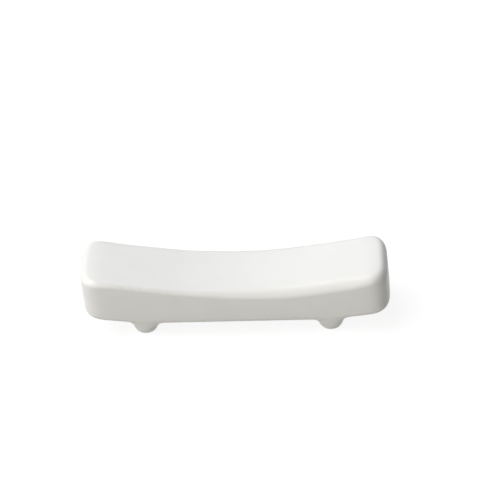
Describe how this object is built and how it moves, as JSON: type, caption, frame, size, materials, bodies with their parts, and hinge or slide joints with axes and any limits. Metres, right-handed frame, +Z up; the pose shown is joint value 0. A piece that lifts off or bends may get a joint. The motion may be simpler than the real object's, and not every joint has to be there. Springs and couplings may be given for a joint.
{
  "type": "chopstick rest",
  "caption": "White porcelain chopstick rest: a rounded bar with a shallow saddle in its top, raised on small domed feet, that holds chopstick tips off the table.",
  "frame": {"origin": "on the table under the middle of the bar, level with the foot tips", "axes": "+X along the bar, +Y from the front face to the rear face, +Z up"},
  "size_m": [0.0754, 0.0204, 0.0157],
  "materials": {
    "bisque": "unglazed fired porcelain, fine and matt",
    "glaze": "clear soft-gloss glaze over white porcelain"
  },
  "bodies": {
    "root": {"body": "bisque", "front_left_foot": "bisque", "front_right_foot": "bisque", "rear_left_foot": "bisque", "rear_right_foot": "bisque", "glaze_coat": "glaze"}
  },
  "joints": []
}
